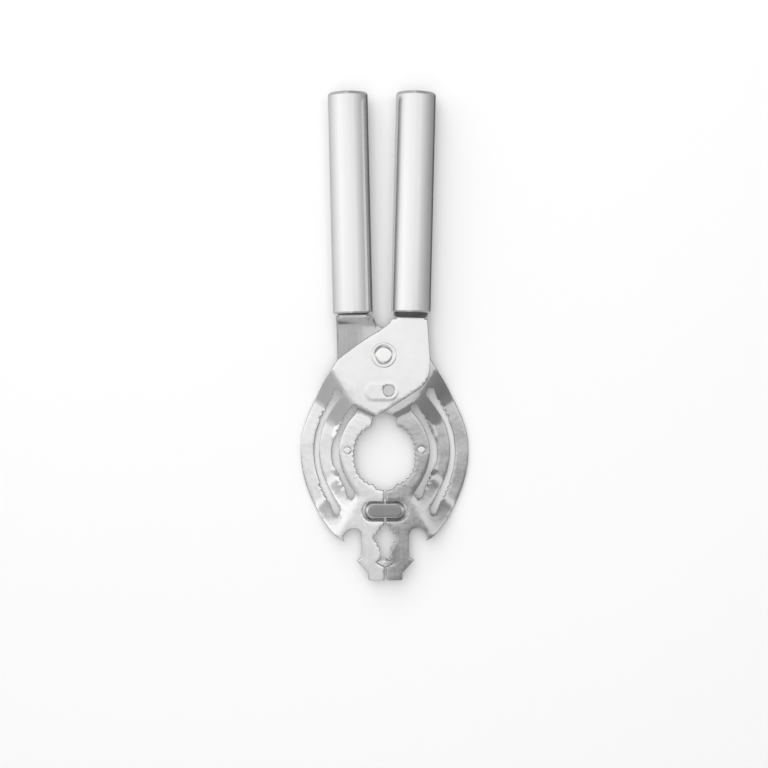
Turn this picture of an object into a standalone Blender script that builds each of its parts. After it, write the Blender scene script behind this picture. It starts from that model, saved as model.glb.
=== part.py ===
"""Pliers-type opener for jars, bottles and screw caps.

Two stamped jaw plates cross at one rivet, and each plate's tang is held in a
tubular handle.  The front plate carries the right handle and the left jaw, the
rear plate the left handle and the right jaw.  Lengths in the constants are in
millimetres; +Y points to the handles, +Z is up, and the tool lies on z = 0.
"""

import math

import bmesh
import bpy
from mathutils import Matrix, Vector
from mathutils.geometry import delaunay_2d_cdt

MM = 0.001
CLEARANCE = 0.3

# Overall size
HALF_LENGTH = 105.0
HALF_WIDTH = 36.3

# Handles: round tubes that lean slightly outwards
TUBE_RADIUS = 8.5
TUBE_WALL = 1.0
TUBE_STEPS = 40
TUBE_CENTRE_Z = TUBE_RADIUS
RIGHT_ROOT_X = 11.65
LEFT_ROOT_X = -13.1
RIGHT_LEAN = math.radians(1.83)
LEFT_LEAN = math.radians(-0.91)
ROOT_Y = 8.0
RIGHT_MOUTH_Y = 10.2
LEFT_MOUTH_Y = 9.9
RIGHT_CORE_Y = 7.9
LEFT_CORE_Y = 9.3
END_ROUNDING = 0.9
CAP_PLUG_LENGTH = 7.0
CORE_LENGTH = 32.0
TANG_WIDTH = 12.0
TANG_LENGTH = 25.0
PIN_RADIUS = 1.2
PIN_LENGTH = 12.0
PIN_FROM_SHOULDER = 16.0
TUBE_EDGE = 0.35
CORE_EDGE = 0.5
SLOT_MOUTH = 2.0
CUTTER_LENGTH = 20.0

# Plates
PLATE = 1.5
FRONT_LEVEL = 8.5
REAR_LEVEL = FRONT_LEVEL - PLATE - CLEARANCE
RING_LEVEL = 6.0
MIDDLE_LEVEL = 2.6
OUTER_LEVEL = PLATE / 2
PIVOT = Vector((0.0, -8.0))
BITE = Vector((0.0, -49.2))
SPLIT_HALF_GAP = 0.45
RIGHT_SHOULDER_Y = 7.5
LEFT_SHOULDER_Y = 9.0
SHOULDER_STEP = 1.2
SLIT_TOOTH_DEPTH = 0.8
INNER_SLIT_TOOTH_DEPTH = 0.6

# Bends, as angles about the middle of the bite
OUTER_BENDS = (-60.0, -38.5, 39.5, 55.0)
MIDDLE_BENDS = (-60.0, -29.0, 31.5, 54.0)
JOG_INNER = Vector((4.9, -34.9))
JOG_OUTER = Vector((11.9, -31.4))
JOG_WIDTH = 1.8
TANG_JOG = (5.2, 7.8)
OUTER_BEND_REACH = (32.0, 46.0)
MIDDLE_BEND_REACH = (24.6, 29.4)
BEND_LINE_SPACING = 9.0

# Centre hole and the openings below it
HOLE_CENTRE_Y = -51.3
HOLE_RADIUS = 13.1
HOLE_CORNER = 0.85
HOLE_TEETH = 13
TOOTH_DEPTH = 0.55
WINDOW_Y = -75.2
WINDOW_HALF_LENGTH = 9.8
WINDOW_HALF_HEIGHT = 4.3
GUIDE_HALF_LENGTH = 11.6
GUIDE_HALF_HEIGHT = 5.3
GUIDE_THICKNESS = 0.9
PLATEAU_HALF_LENGTH = 7.1
PLATEAU_HALF_HEIGHT = 2.6
PLATEAU_SLOPE = 1.4
LOCATOR_Y = -97.2
LOCATOR_HALF_WIDTH = 3.6
LOCATOR_HALF_HEIGHT = 1.75
LOCATOR_PEAK = 1.1

# Pivot, stop and studs
PIVOT_SHANK = 2.6
PIVOT_HEAD = 3.6
PIVOT_DOME = 1.3
PIVOT_TAIL = 1.0
WASHER_RADIUS = 5.4
WASHER_THICKNESS = 0.5
STOP_CLOSED = Vector((-4.3, -23.4))
STOP_SHANK = 1.4
STOP_HEAD = 2.2
STOP_DOME = 0.25
STOP_TAIL = 0.7
POCKET_CENTRE = Vector((-1.1, -23.6))
POCKET_HALF_LENGTH = 7.5
POCKET_HALF_HEIGHT = 4.2
POCKET_RISE = 0.6
POCKET_SLOPE = 0.9
PORT_CENTRE = Vector((2.0, -23.2))
PORT_RADIUS = 2.4
STUD_PLACE = Vector((15.95, -48.9))
STUD_SHANK = 0.9
STUD_HEAD = 1.7
STUD_DOME = 1.1
STUD_TAIL = 0.7
FINE_STEPS = 32
RIVET_STEPS = 24
STUD_STEPS = 16
SMALL_HOLE_STEPS = 12


# ---------------------------------------------------------------- scene and materials

def clear_scene():
    for old in list(bpy.data.objects):
        bpy.data.objects.remove(old, do_unlink=True)


def new_collection(name):
    collection = bpy.data.collections.new(name)
    bpy.context.scene.collection.children.link(collection)
    return collection


def new_material(name, colour, metallic, roughness):
    material = bpy.data.materials.new(name)
    material.use_nodes = True
    shader = material.node_tree.nodes["Principled BSDF"]
    shader.inputs["Base Color"].default_value = (*colour, 1.0)
    shader.inputs["Metallic"].default_value = metallic
    shader.inputs["Roughness"].default_value = roughness
    return material


def new_object(name, mesh, material, collection):
    obj = bpy.data.objects.new(name, mesh)
    collection.objects.link(obj)
    mesh.materials.clear()
    mesh.materials.append(material)
    return obj


def new_empty(name, place, collection):
    empty = bpy.data.objects.new(name, None)
    empty.location = place
    empty.empty_display_size = 10 * MM
    collection.objects.link(empty)
    return empty


def attach(obj, parent):
    """Parent without moving: the parent only ever has a location."""
    obj.parent = parent
    obj.location = obj.location - parent.location


def shade(mesh, angle=35.0):
    mesh.shade_smooth()
    mesh.set_sharp_from_angle(angle=math.radians(angle))


# ---------------------------------------------------------------- outline helpers

def smooth(points, steps=3):
    """Points on a smooth curve (Catmull-Rom) through the given points, both ends kept."""
    points = [Vector(p) for p in points]
    padded = [2 * points[0] - points[1]] + points + [2 * points[-1] - points[-2]]
    curve = []
    for a, b, c, d in zip(padded, padded[1:], padded[2:], padded[3:]):
        for step in range(steps):
            t = step / steps
            curve.append(0.5 * (2 * b + (c - a) * t + (2 * a - 5 * b + 4 * c - d) * t ** 2
                                + (3 * b - a - 3 * c + d) * t ** 3))
    return curve + [points[-1]]


def teeth(start, end, count, depth):
    """A row of saw teeth from start to end, biting to the right of that direction."""
    start, end = Vector(start), Vector(end)
    along = (end - start) / count
    side = Vector((along.y, -along.x)).normalized() * depth
    row = []
    for index in range(count):
        row.append(start + along * index)
        row.append(start + along * (index + 0.45) + side)
    return row + [end]


def arc(centre, radius, first, last, steps):
    """Points on an arc, angles in degrees, both ends kept."""
    centre = Vector(centre)
    angles = [math.radians(first + (last - first) * i / steps) for i in range(steps + 1)]
    return [centre + radius * Vector((math.cos(a), math.sin(a))) for a in angles]


def circle(centre, radius, steps=20):
    return arc(centre, radius, 0.0, 360.0, steps)[:-1]


def stadium(centre, half_length, half_height, steps=8):
    """Slot shape: two half circles and the straight sides between them."""
    reach = Vector((half_length - half_height, 0.0))
    centre = Vector(centre)
    return (arc(centre + reach, half_height, -90.0, 90.0, steps)
            + arc(centre - reach, half_height, 90.0, 270.0, steps))


def toothed_hole(first, last, count, depth):
    """Side of the centre hole, fuller at its diagonals, whose edge is a row of shallow scallops."""
    pitch = (last - first) / count
    points = []
    for index in range(count):
        for share, reach in ((0.0, -depth / 2), (0.5, depth / 2)):
            angle = math.radians(first + pitch * (index + share))
            radius = HOLE_RADIUS + HOLE_CORNER * math.sin(2.0 * angle) ** 2 + reach
            points.append(Vector((radius * math.cos(angle), HOLE_CENTRE_Y + radius * math.sin(angle))))
    return points


# ---------------------------------------------------------------- jaw plate, seen with its jaw at +X

def tang_outline(root_x, lean, shoulder_y):
    """The four corners of the tongue that goes into the handle."""
    along = Vector((math.sin(lean), math.cos(lean)))
    across = Vector((along.y, -along.x)) * (TANG_WIDTH / 2)
    foot = Vector((root_x, ROOT_Y)) + along * (shoulder_y - ROOT_Y)
    top = foot + along * TANG_LENGTH
    return [foot + across, top + across, top - across, foot - across]


def centre_hole_edge():
    """From the split, up the toothed side, to the plate's corner over the hole."""
    toothed = toothed_hole(-66.0, 62.0, HOLE_TEETH, TOOTH_DEPTH)
    return ([(SPLIT_HALF_GAP, -66.3), (3.6, -65.7)] + toothed
            + [(5.6, -38.6), JOG_INNER, (0.0, -32.3)])


def small_hole_edge():
    """Half of the toothed hole for small caps, from the tip upwards."""
    return ([(1.8, -95.4), (1.9, -93.6)]
            + teeth((2.4, -92.2), (4.6, -88.2), 2, -TOOTH_DEPTH)
            + [(5.0, -86.7)]
            + teeth((4.6, -85.2), (2.2, -82.0), 2, -TOOTH_DEPTH)
            + [(1.3, -81.4), (SPLIT_HALF_GAP, -81.1)])


def window_edge():
    """Half of the slot window over the guide plate, from below to above."""
    end = arc((WINDOW_HALF_LENGTH - WINDOW_HALF_HEIGHT, WINDOW_Y), WINDOW_HALF_HEIGHT, -90, 90, 10)
    return [(SPLIT_HALF_GAP, end[0].y)] + end + [(SPLIT_HALF_GAP, end[-1].y)]


def tip_edge():
    """From the claw over the cap-lifter notch and the barb to the split."""
    notch = smooth([(17.6, -88.2), (18.0, -86.2), (16.6, -83.9), (13.6, -82.6), (11.2, -83.5),
                    (10.2, -86.0)], 3)
    return (notch + [(10.3, -94.9), (12.3, -96.5), (7.4, -101.8), (7.35, -104.3), (6.9, -105.0),
                     (0.9, -105.0), (SPLIT_HALF_GAP, -104.6)])


def jaw_side():
    """The outer silhouette, from the shoulder over the rivet down to the claw."""
    return smooth([(20.1, -9.9), (23.2, -14.8), (26.4, -20.1), (30.0, -27.2), (33.3, -34.4),
                   (35.6, -41.6), (HALF_WIDTH, -49.2), (35.7, -56.8), (33.9, -64.2), (30.9, -71.6),
                   (26.9, -79.0), (21.6, -85.6), (17.6, -88.2)])


def notch_for_locator():
    half = LOCATOR_HALF_HEIGHT + 0.35
    reach = LOCATOR_HALF_WIDTH + 0.75
    return [(SPLIT_HALF_GAP, LOCATOR_Y - half), (reach, LOCATOR_Y)]


def plate_outline(root_x, lean, shoulder_y, inner_corner):
    """The whole edge of a plate, with the jaw at +X and the tang at -X."""
    tang = tang_outline(root_x, lean, shoulder_y)
    outline = [(tang[3].x - SHOULDER_STEP, shoulder_y), tang[3], tang[2], tang[1], tang[0]]
    outline += inner_corner
    outline += smooth([(1.0, 3.2), (7.6, -0.8), (14.7, -5.8), (20.1, -9.9)], 2)[:-1]
    outline += jaw_side()[:-1]
    outline += tip_edge()
    outline += notch_for_locator()
    outline += small_hole_edge()
    outline += window_edge()
    outline += centre_hole_edge()
    outline += smooth([(-15.8, -22.3), (-18.1, -19.7), (-19.4, -16.6), (-19.95, -11.0)], 2)
    return [Vector(p) for p in outline]


def outer_slit():
    middle_side = smooth([(19.2, -74.6), (24.2, -65.0), (27.2, -57.6), (28.3, -49.2), (27.1, -40.8),
                          (24.4, -34.2), (18.2, -25.2)])
    top = [(18.4, -23.4), (19.6, -22.2), (21.4, -22.4)]
    flange_side = (teeth((23.2, -27.4), (27.9, -36.2), 4, -SLIT_TOOTH_DEPTH)
                   + smooth([(27.9, -36.2), (29.8, -42.0), (30.6, -49.2), (30.0, -56.4),
                             (28.0, -63.2)])[1:-1]
                   + teeth((28.0, -63.2), (24.2, -71.4), 4, -SLIT_TOOTH_DEPTH))
    bottom = [(22.0, -76.4), (21.0, -76.9), (19.8, -76.2)]
    return [Vector(p) for p in middle_side + top + flange_side + bottom]


def inner_slit():
    ring_side = smooth([(12.6, -67.4), (15.6, -62.9), (18.5, -56.4), (19.6, -49.2), (18.5, -43.0),
                        (15.6, -36.8), (11.6, -32.0)])
    top = [(11.6, -30.0), (12.6, -29.0), (13.9, -29.3)]
    middle_side = (teeth((16.6, -33.6), (20.2, -41.2), 4, -INNER_SLIT_TOOTH_DEPTH)
                   + smooth([(21.4, -42.8), (22.5, -46.0), (22.9, -50.0), (22.6, -54.4),
                             (21.5, -56.6)], 2)
                   + teeth((19.8, -59.2), (17.6, -64.4), 3, -INNER_SLIT_TOOTH_DEPTH))
    bottom = [(16.0, -69.2), (14.9, -69.9), (13.4, -69.3)]
    return [Vector(p) for p in ring_side + top + middle_side + bottom]


def ramp(angle, bends, low, tip, body):
    """Height along a band: tip level, down to low, flat, and up to the plate body."""
    tip_end, low_start, low_end, body_start = bends
    if angle <= tip_end:
        return tip
    if angle < low_start:
        return tip + (low - tip) * (angle - tip_end) / (low_start - tip_end)
    if angle <= low_end:
        return low
    if angle < body_start:
        return low + (body - low) * (angle - low_end) / (body_start - low_end)
    return body


def band_edges(angle):
    """Radii of the ring's outside, the middle band's two sides and the flange's inside."""
    bow = min(abs(angle), 60.0) / 50.0
    return 19.6 + 1.3 * bow ** 2, 22.6 + 1.6 * bow ** 2, 28.2 + 2.0 * bow ** 2, 30.1 + 2.6 * bow ** 2


def between(value, low, high):
    return max(0.0, min(1.0, (value - low) / (high - low)))


def plate_height(point, body, tang):
    """Mid-height of a plate at a point, with the jaw at +X."""
    if tang != body and point.y > TANG_JOG[0] and point.x < 0.0:
        return body + (tang - body) * between(point.y, *TANG_JOG)
    offset = point - BITE
    radius = offset.length
    angle = math.degrees(math.atan2(offset.y, offset.x))
    ring_edge, middle_inside, middle_outside, flange_inside = band_edges(angle)
    jog_along = (JOG_OUTER - JOG_INNER).normalized()
    above_jog = (point - JOG_INNER).dot(Vector((-jog_along.y, jog_along.x)))
    ring = RING_LEVEL + (body - RING_LEVEL) * between(above_jog, 0.0, JOG_WIDTH)
    middle = ramp(angle, MIDDLE_BENDS, MIDDLE_LEVEL, RING_LEVEL, body)
    outer = ramp(angle, OUTER_BENDS, OUTER_LEVEL, RING_LEVEL, body)
    outward = middle + (outer - middle) * between(radius, middle_outside, flange_inside)
    return ring + (outward - ring) * between(radius, ring_edge, middle_inside)


def radial_lines(bends, inside, outside):
    """Lines across a band at its bends and at even steps between them."""
    lines = []
    for first, last in zip(bends, bends[1:]):
        count = max(1, round((last - first) / BEND_LINE_SPACING))
        for step in range(count + 1):
            angle = math.radians(first + (last - first) * step / count)
            ray = Vector((math.cos(angle), math.sin(angle)))
            lines.append((BITE + ray * inside, BITE + ray * outside))
    return lines


def bend_lines(tang_is_jogged):
    jog_along = (JOG_OUTER - JOG_INNER).normalized()
    jog_up = Vector((-jog_along.y, jog_along.x)) * JOG_WIDTH
    reach = jog_along * 1.2
    lines = [(JOG_INNER - reach, JOG_OUTER + jog_along * 0.2),
             (JOG_INNER - reach + jog_up, JOG_OUTER + jog_along * 0.2 + jog_up)]
    lines += radial_lines(OUTER_BENDS, *OUTER_BEND_REACH)
    lines += radial_lines(MIDDLE_BENDS, *MIDDLE_BEND_REACH)
    if tang_is_jogged:
        lines += [(Vector((-26.0, y)), Vector((0.0, y))) for y in TANG_JOG]
    return lines


def inside(point, loop):
    """Even-odd test of a point in a closed loop."""
    hit = False
    for a, b in zip(loop, loop[1:] + loop[:1]):
        if (a.y > point.y) != (b.y > point.y):
            hit ^= point.x < a.x + (b.x - a.x) * (point.y - a.y) / (b.y - a.y)
    return hit


def sheet_mesh(name, outline, holes, lines, height, mirror):
    """A bent sheet: the flat outline is meshed along its bends, then lifted to its height."""
    points, edges = [], []
    for loop in [outline] + holes:
        first = len(points)
        points += loop
        edges += [(first + i, first + (i + 1) % len(loop)) for i in range(len(loop))]
    for a, b in lines:
        edges.append((len(points), len(points) + 1))
        points += [a, b]
    flat, _, faces, _, _, _ = delaunay_2d_cdt(points, edges, [], 0, 0.02)
    sheet = bmesh.new()
    corners = [sheet.verts.new((p.x, p.y, height(p))) for p in flat]
    for face in faces:
        middle = sum((flat[i] for i in face), Vector((0.0, 0.0))) / len(face)
        if inside(middle, outline) and not any(inside(middle, hole) for hole in holes):
            sheet.faces.new([corners[i] for i in face])
    bmesh.ops.delete(sheet, geom=[v for v in sheet.verts if not v.link_faces], context="VERTS")
    bmesh.ops.transform(sheet, matrix=Matrix.Diagonal((-MM if mirror else MM, MM, MM, 1.0)),
                        verts=sheet.verts)
    bmesh.ops.recalc_face_normals(sheet, faces=sheet.faces)
    if sum(face.normal.z for face in sheet.faces) < 0.0:
        bmesh.ops.reverse_faces(sheet, faces=sheet.faces)
    mesh = bpy.data.meshes.new(name)
    sheet.to_mesh(mesh)
    sheet.free()
    return mesh


def thicken(obj, thickness):
    """Give a sheet its thickness, half to each side."""
    solidify = obj.modifiers.new("thickness", "SOLIDIFY")
    solidify.thickness = thickness * MM
    solidify.offset = 0.0
    solidify.use_even_offset = False


def mirrored(point):
    return Vector((-point[0], point[1]))


def make_left_jaw_plate(material, collection):
    """Front plate: right tang, left jaw, the raised pocket for the stop."""
    outline = plate_outline(-RIGHT_ROOT_X, -RIGHT_LEAN, RIGHT_SHOULDER_Y,
                            [(-3.4, RIGHT_SHOULDER_Y), (-2.7, 5.9)])
    pocket = stadium(mirrored(POCKET_CENTRE), POCKET_HALF_LENGTH, POCKET_HALF_HEIGHT)
    crown = stadium(mirrored(POCKET_CENTRE), POCKET_HALF_LENGTH - POCKET_SLOPE,
                    POCKET_HALF_HEIGHT - POCKET_SLOPE)
    holes = [outer_slit(), inner_slit(), circle(PIVOT, PIVOT_SHANK + CLEARANCE),
             circle(mirrored(PORT_CENTRE), PORT_RADIUS),
             circle(STUD_PLACE, STUD_SHANK + CLEARANCE, SMALL_HOLE_STEPS),
             circle(Vector((-RIGHT_ROOT_X, ROOT_Y)) + tang_pin_offset(-RIGHT_LEAN, RIGHT_SHOULDER_Y),
                    PIN_RADIUS + CLEARANCE, SMALL_HOLE_STEPS)]
    lines = bend_lines(False)
    for loop in (pocket, crown):
        lines += list(zip(loop, loop[1:] + loop[:1]))

    def height(point):
        level = plate_height(point, FRONT_LEVEL, FRONT_LEVEL)
        reach = abs(point.x - mirrored(POCKET_CENTRE).x) - (POCKET_HALF_LENGTH - POCKET_HALF_HEIGHT)
        away = Vector((max(0.0, reach), point.y - POCKET_CENTRE.y)).length
        fall = between(away, POCKET_HALF_HEIGHT - POCKET_SLOPE, POCKET_HALF_HEIGHT)
        return level + POCKET_RISE * (1.0 - fall)

    mesh = sheet_mesh("left_jaw_plate", outline, holes, lines, height, True)
    plate = new_object("left_jaw_plate", mesh, material, collection)
    thicken(plate, PLATE)
    return plate


def make_right_jaw_plate(material, collection):
    """Rear plate: left tang, right jaw, the hole that carries the stop stud."""
    outline = plate_outline(LEFT_ROOT_X, LEFT_LEAN, LEFT_SHOULDER_Y,
                            [(-5.2, LEFT_SHOULDER_Y), (-3.7, 7.0), (-3.2, 5.2)])
    holes = [outer_slit(), inner_slit(), circle(PIVOT, PIVOT_SHANK + CLEARANCE),
             circle(STOP_CLOSED, STOP_SHANK + CLEARANCE, SMALL_HOLE_STEPS),
             circle(STUD_PLACE, STUD_SHANK + CLEARANCE, SMALL_HOLE_STEPS),
             circle(Vector((LEFT_ROOT_X, ROOT_Y)) + tang_pin_offset(LEFT_LEAN, LEFT_SHOULDER_Y),
                    PIN_RADIUS + CLEARANCE, SMALL_HOLE_STEPS)]

    def height(point):
        return plate_height(point, REAR_LEVEL, FRONT_LEVEL)

    mesh = sheet_mesh("right_jaw_plate", outline, holes, bend_lines(True), height, False)
    plate = new_object("right_jaw_plate", mesh, material, collection)
    thicken(plate, PLATE)
    return plate


# ---------------------------------------------------------------- turned pieces and handles

def tang_pin_offset(lean, shoulder_y):
    """From the handle's root to its pin, along the handle."""
    return Vector((math.sin(lean), math.cos(lean))) * (shoulder_y - ROOT_Y + PIN_FROM_SHOULDER)


def turned(name, profile, steps, material, collection, closed=False):
    """A solid of revolution about local Z; the profile (radius, z) runs down its outer side."""
    mesh = bpy.data.meshes.new(name)
    count = len(profile)
    edges = [(i, i + 1) for i in range(count - 1)]
    if closed:
        edges.append((count - 1, 0))
    mesh.from_pydata([(radius * MM, 0.0, z * MM) for radius, z in profile], edges, [])
    obj = new_object(name, mesh, material, collection)
    screw = obj.modifiers.new("turn", "SCREW")
    screw.axis = "Z"
    screw.steps = steps
    screw.render_steps = steps
    screw.use_merge_vertices = True
    screw.merge_threshold = 0.00001
    screw.use_smooth_shade = True
    return obj


def rounded_edge(radius, z, rounding, steps=3):
    """The rounded corner of a turned piece, from its flat end out to its side."""
    turn = [math.radians(90.0 * i / steps) for i in range(steps + 1)]
    return [(radius - rounding + rounding * math.sin(a), z - rounding + rounding * math.cos(a))
            for a in turn]


def aim(obj, root_x, lean, along):
    """Turn local Z into the handle's direction and put the origin on its axis."""
    obj.rotation_euler = (math.radians(-90.0), 0.0, -lean)
    obj.location = ((root_x + along * math.sin(lean)) * MM, (ROOT_Y + along * math.cos(lean)) * MM,
                    TUBE_CENTRE_Z * MM)


def along_handle(y, lean):
    return (y - ROOT_Y) / math.cos(lean)


def handle_end(lean):
    """Distance from the root to the cap's outer face, so that the cap just reaches HALF_LENGTH."""
    return along_handle(HALF_LENGTH - (TUBE_RADIUS - END_ROUNDING) * math.sin(abs(lean)), lean)


def make_tube(name, root_x, lean, mouth_y, material, collection):
    start = along_handle(mouth_y, lean)
    length = handle_end(lean) - END_ROUNDING - CLEARANCE - start
    inner = TUBE_RADIUS - TUBE_WALL
    profile = [(TUBE_RADIUS, length), (TUBE_RADIUS, TUBE_EDGE), (TUBE_RADIUS - TUBE_EDGE, 0.0), (inner, 0.0),
               (inner, length)]
    tube = turned(name, profile, TUBE_STEPS, material, collection, closed=True)
    aim(tube, root_x, lean, start)
    return tube


def make_cap(name, root_x, lean, material, collection):
    """Disc with a rounded edge that closes the tube, and the plug that holds it."""
    plug = TUBE_RADIUS - TUBE_WALL - CLEARANCE
    profile = [(0.0, 0.0)] + rounded_edge(TUBE_RADIUS, 0.0, END_ROUNDING)
    profile += [(plug, -END_ROUNDING), (plug, -CAP_PLUG_LENGTH), (0.0, -CAP_PLUG_LENGTH)]
    cap = turned(name, profile, TUBE_STEPS, material, collection)
    aim(cap, root_x, lean, handle_end(lean))
    return cap


def box_cutter(name, size, place, collection):
    mesh = bpy.data.meshes.new(name)
    box = bmesh.new()
    bmesh.ops.create_cube(box, size=1.0)
    bmesh.ops.scale(box, vec=[side * MM for side in size], verts=box.verts)
    bmesh.ops.translate(box, vec=[side * MM for side in place], verts=box.verts)
    box.to_mesh(mesh)
    box.free()
    return as_cutter(bpy.data.objects.new(name, mesh), collection)


def rod_mesh(name, radius, length, steps=16):
    mesh = bpy.data.meshes.new(name)
    rod = bmesh.new()
    bmesh.ops.create_cone(rod, cap_ends=True, segments=steps, radius1=radius * MM, radius2=radius * MM,
                          depth=length * MM)
    rod.to_mesh(mesh)
    rod.free()
    return mesh


def as_cutter(obj, collection):
    collection.objects.link(obj)
    obj.hide_render = True
    obj.display_type = "WIRE"
    return obj


def cut(obj, cutter):
    boolean = obj.modifiers.new("cut_" + cutter.name, "BOOLEAN")
    boolean.operation = "DIFFERENCE"
    boolean.solver = "EXACT"
    boolean.object = cutter


def make_core(name, root_x, lean, core_y, shoulder_y, material, collection, cutters):
    """Moulded plug in the tube's mouth: the tang sits in its slot and a pin crosses both."""
    start = along_handle(core_y, lean)
    slot_depth = shoulder_y - core_y + TANG_LENGTH + CLEARANCE
    radius = TUBE_RADIUS - TUBE_WALL - CLEARANCE
    profile = [(0.0, CORE_LENGTH), (radius - CORE_EDGE, CORE_LENGTH), (radius, CORE_LENGTH - CORE_EDGE),
               (radius, CORE_EDGE), (radius - CORE_EDGE, 0.0), (0.0, 0.0)]
    core = turned(name, profile, TUBE_STEPS, material, collection)
    aim(core, root_x, lean, start)
    slot = box_cutter(name + "_slot", (TANG_WIDTH + 2 * CLEARANCE, PLATE + 2 * CLEARANCE,
                                       slot_depth + SLOT_MOUTH),
                      (0.0, 0.0, (slot_depth - SLOT_MOUTH) / 2), cutters)
    slot.matrix_basis = Matrix.LocRotScale(core.location, core.rotation_euler, None)
    cut(core, slot)
    rod = rod_mesh(name + "_pin_hole", PIN_RADIUS + CLEARANCE, CUTTER_LENGTH)
    hole = as_cutter(bpy.data.objects.new(rod.name, rod), cutters)
    hole.location = pin_place(root_x, lean, shoulder_y)
    cut(core, hole)
    return core


def pin_place(root_x, lean, shoulder_y):
    place = Vector((root_x, ROOT_Y)) + tang_pin_offset(lean, shoulder_y)
    return Vector((place.x, place.y, TUBE_CENTRE_Z)) * MM


def make_tang_pin(name, root_x, lean, shoulder_y, material, collection):
    pin = new_object(name, rod_mesh(name, PIN_RADIUS, PIN_LENGTH), material, collection)
    pin.location = pin_place(root_x, lean, shoulder_y)
    shade(pin.data)
    return pin


# ---------------------------------------------------------------- rivet, washers, studs

def headed_pin(name, place, shank, top_head, bottom_head, material, collection, steps=STUD_STEPS):
    """A rivet: each head is (radius, near face z, dome height)."""
    radius, near, dome = top_head
    profile = [(0.0, near + dome), (0.5 * radius, near + 0.92 * dome), (0.85 * radius, near + 0.7 * dome),
               (radius, near + 0.35 * dome), (radius, near)]
    radius, far, drop = bottom_head
    profile += [(shank, near), (shank, far), (radius, far), (radius, far - 0.5 * drop),
                (0.7 * radius, far - drop), (0.0, far - drop)]
    rivet = turned(name, profile, steps, material, collection)
    rivet.location = (place.x * MM, place.y * MM, 0.0)
    return rivet


def make_washer(name, place, bottom, material, collection):
    inner = PIVOT_SHANK + CLEARANCE
    top = bottom + WASHER_THICKNESS
    profile = [(inner, top), (WASHER_RADIUS - 0.2, top), (WASHER_RADIUS, top - 0.2),
               (WASHER_RADIUS, bottom), (inner, bottom)]
    washer = turned(name, profile, FINE_STEPS, material, collection, closed=True)
    washer.location = (place.x * MM, place.y * MM, 0.0)
    return washer


def make_guide_plate(material, collection):
    """Slot-shaped plate under the split, with a raised middle that shows in the window."""
    top = RING_LEVEL - PLATE / 2 - CLEARANCE
    low = top - GUIDE_THICKNESS / 2
    high = RING_LEVEL + 0.1
    centre = Vector((0.0, WINDOW_Y))
    outline = stadium(centre, GUIDE_HALF_LENGTH, GUIDE_HALF_HEIGHT, 10)
    foot = stadium(centre, PLATEAU_HALF_LENGTH + PLATEAU_SLOPE, PLATEAU_HALF_HEIGHT + PLATEAU_SLOPE, 10)
    crown = stadium(centre, PLATEAU_HALF_LENGTH, PLATEAU_HALF_HEIGHT, 10)
    lines = []
    for loop in (foot, crown):
        lines += list(zip(loop, loop[1:] + loop[:1]))

    def height(point):
        reach = max(0.0, abs(point.x) - (PLATEAU_HALF_LENGTH - PLATEAU_HALF_HEIGHT))
        away = Vector((reach, point.y - WINDOW_Y)).length
        fall = between(away, PLATEAU_HALF_HEIGHT, PLATEAU_HALF_HEIGHT + PLATEAU_SLOPE)
        return high + (low - high) * fall

    guide = new_object("tip_guide_plate", sheet_mesh("tip_guide_plate", outline, [], lines, height, False),
                       material, collection)
    thicken(guide, GUIDE_THICKNESS)
    return guide


def make_locator(material, collection):
    """Lozenge that centres a cap at the tip: a low four-sided pyramid on a flat base."""
    mesh = bpy.data.meshes.new("tip_locator")
    shape = bmesh.new()
    base = RING_LEVEL - PLATE / 2
    top = RING_LEVEL + PLATE / 2
    bmesh.ops.create_cone(shape, cap_ends=True, segments=4, radius1=MM, radius2=MM, depth=MM)
    for vert in shape.verts:
        level = top if vert.co.z > 0.0 else base
        vert.co.z = level * MM
    upper = [face for face in shape.faces if face.normal.z > 0.5]
    bmesh.ops.poke(shape, faces=upper)
    for vert in shape.verts:
        if abs(vert.co.x) < MM / 100 and abs(vert.co.y) < MM / 100:
            vert.co.z = (top + LOCATOR_PEAK) * MM
    bmesh.ops.scale(shape, vec=(LOCATOR_HALF_WIDTH, LOCATOR_HALF_HEIGHT, 1.0), verts=shape.verts)
    shape.to_mesh(mesh)
    shape.free()
    locator = new_object("tip_locator", mesh, material, collection)
    locator.location = (0.0, LOCATOR_Y * MM, 0.0)
    return locator


# ---------------------------------------------------------------- the whole opener

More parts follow.
